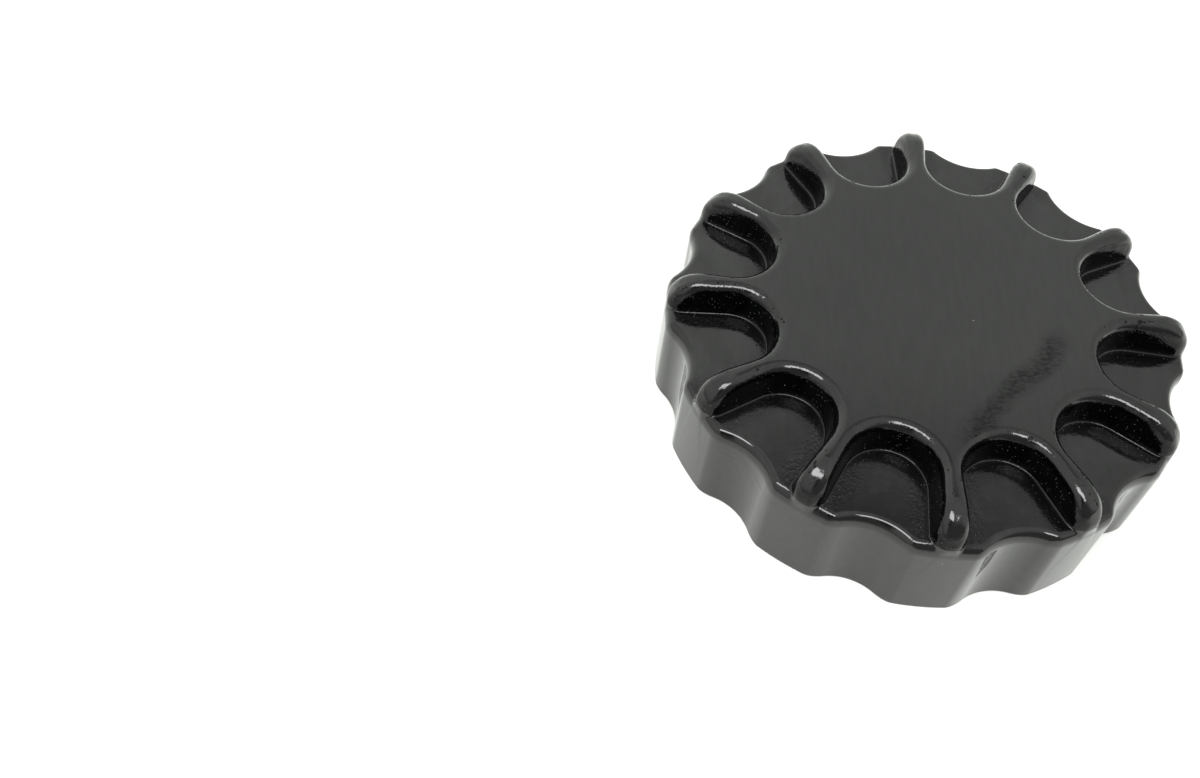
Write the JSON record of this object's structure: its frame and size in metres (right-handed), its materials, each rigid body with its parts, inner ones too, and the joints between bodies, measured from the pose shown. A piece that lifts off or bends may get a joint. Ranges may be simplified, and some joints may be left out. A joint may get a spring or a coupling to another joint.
{
  "type": "filler cap",
  "caption": "Round screw-on filler cap with a scalloped grip rim, finger pockets between ribs, an internal coarse thread and a flat rubber gasket.",
  "frame": {"origin": "centre of the open rim's plane", "axes": "+Z along the thread's axis, from the open rim up through the crown; +X along the middle of one rib"},
  "size_m": [0.119, 0.119, 0.0331],
  "materials": {
    "black_enamel": "gloss",
    "gasket_rubber": "matte",
    "bare_aluminium": "satin"
  },
  "bodies": {
    "root": {"cap_body": "black_enamel", "gasket": "gasket_rubber"}
  },
  "joints": []
}
